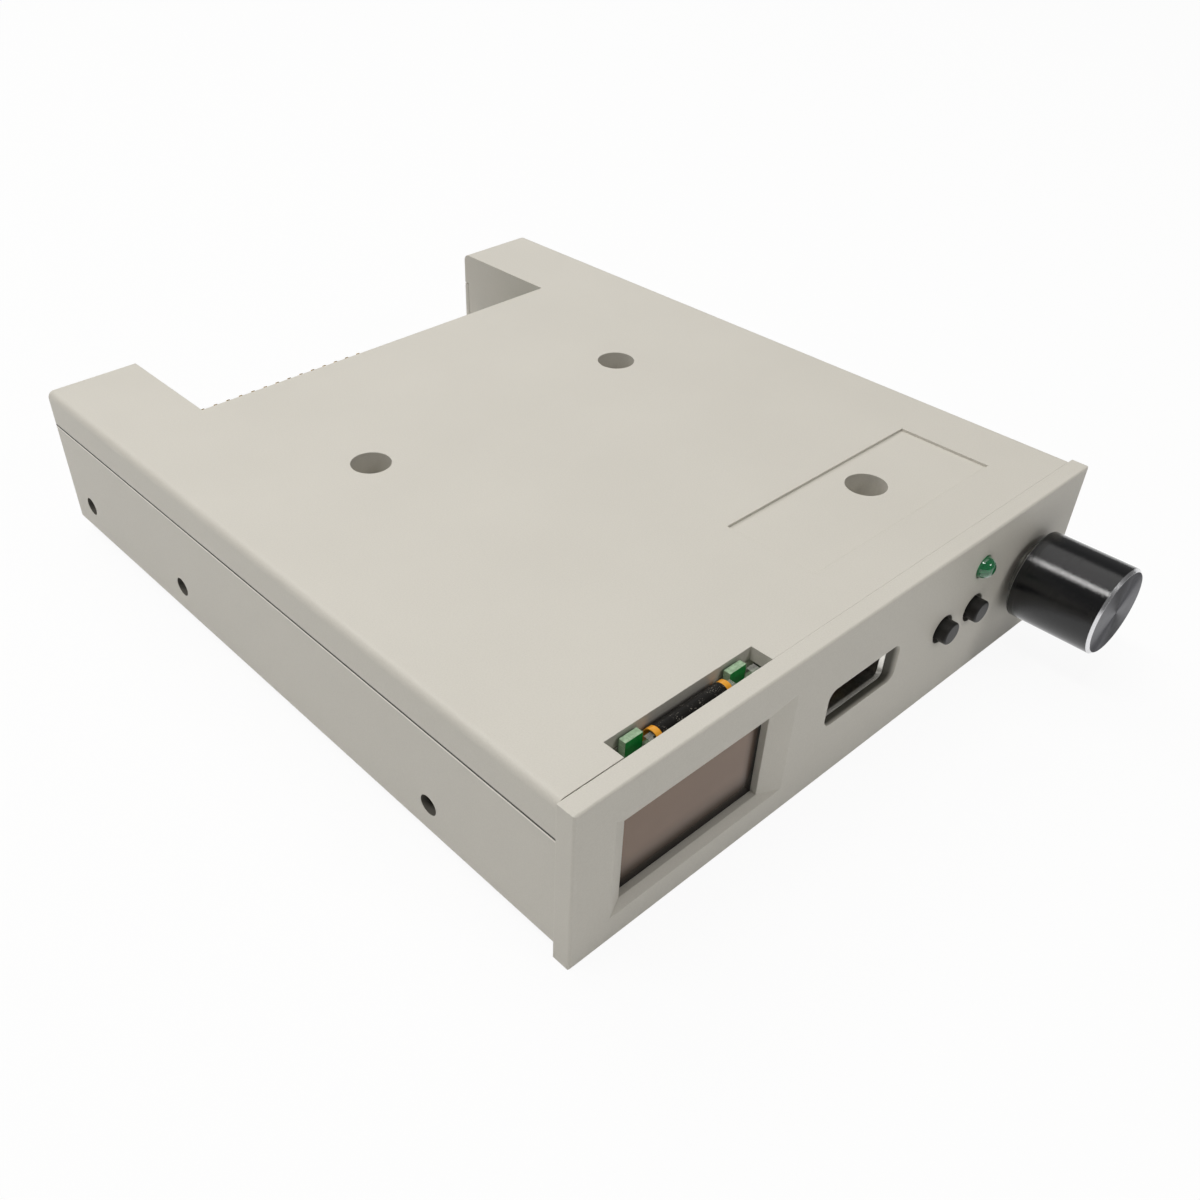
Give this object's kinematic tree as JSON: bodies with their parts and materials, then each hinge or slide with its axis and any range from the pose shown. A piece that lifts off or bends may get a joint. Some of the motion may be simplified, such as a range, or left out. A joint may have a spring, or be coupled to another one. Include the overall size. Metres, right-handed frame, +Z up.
{
  "type": "floppy drive emulator",
  "caption": "Slim plastic box in a floppy drive's shape with a display window, a USB socket, push buttons, a status light and a turning, pressing knob; connector pins at the rear.",
  "frame": {"origin": "middle of the footprint, knob included, on the surface that the bezel's lower edge stands on", "axes": "+Z up, +Y from the bezel to the rear connectors, +X to the right as seen from the front"},
  "size_m": [0.1016, 0.1362, 0.0254],
  "materials": {
    "case_plastic": "satin, fine texture",
    "smoked_pane": "polished",
    "panel_glass": "clear",
    "board_green": "solder mask, satin",
    "flex_film": "film, satin",
    "nickel": "plated",
    "pin_gold": "plated",
    "tin": "tinned",
    "moulded_black": "moulded",
    "moulded_white": "moulded",
    "button_grey": "satin",
    "led_green": "translucent",
    "bushing_brass": "machined",
    "steel": "zinc plated",
    "knob_metal": "black anodised, bright cut chamfer",
    "shaft_metal": "machined",
    "encoder_plastic": "moulded",
    "wire_sleeve": "smooth",
    "ceramic": "ceramic"
  },
  "bodies": {
    "case": {"base_case": "case_plastic", "lid": "case_plastic", "case_screws": "steel", "main_board": "board_green", "usb_shell": "nickel", "usb_insulator": "moulded_black", "usb_contacts": "pin_gold", "left_switch_body": "moulded_black", "right_switch_body": "moulded_black", "switch_domes": "steel", "switch_brackets": "steel", "switch_terminals": "tin", "led_lens": "led_green", "led_leads": "tin", "encoder_bushing": "bushing_brass", "encoder_washer": "steel", "encoder_nut": "steel", "encoder_housing": "encoder_plastic", "encoder_frame": "steel", "encoder_terminals": "tin", "encoder_wires": "wire_sleeve", "display_window": "smoked_pane", "display_glass": "panel_glass", "display_board": "board_green", "display_flex": "flex_film", "display_header": "moulded_black", "display_pins": "pin_gold", "display_wires": "wire_sleeve", "floppy_header_body": "moulded_black", "floppy_header_pins": "pin_gold", "jumper_header_body": "moulded_black", "jumper_header_pins": "pin_gold", "jumper_caps": "moulded_black", "power_header_body": "moulded_white", "power_header_pins": "tin", "microcontroller": "moulded_black", "microcontroller_leads": "tin", "crystal": "nickel", "regulator": "moulded_black", "capacitors": "ceramic", "resistors": "moulded_black"},
    "left_button": {"left_button": "button_grey"},
    "right_button": {"right_button": "button_grey"},
    "knob_turner": {"encoder_rotor": "encoder_plastic", "encoder_shaft": "shaft_metal", "knob": "knob_metal", "knob_core": "moulded_black"},
    "knob_pusher": {"encoder_plunger": "encoder_plastic"}
  },
  "joints": [
    {"name": "knob_push", "type": "slide", "parent": "case", "child": "knob_pusher", "axis": [0, 1, 0], "range_m": [0, 0.0005], "stiffness_N_per_m": 8000},
    {"name": "knob_turn", "type": "hinge", "parent": "knob_pusher", "child": "knob_turner", "pos_m": [0.0401, -0.05412, 0.0125], "axis": [0, 1, 0], "continuous": true},
    {"name": "left_button_press", "type": "slide", "parent": "case", "child": "left_button", "axis": [0, 1, 0], "range_m": [0, 0.00025], "stiffness_N_per_m": 6000},
    {"name": "right_button_press", "type": "slide", "parent": "case", "child": "right_button", "axis": [0, 1, 0], "range_m": [0, 0.00025], "stiffness_N_per_m": 6000}
  ]
}
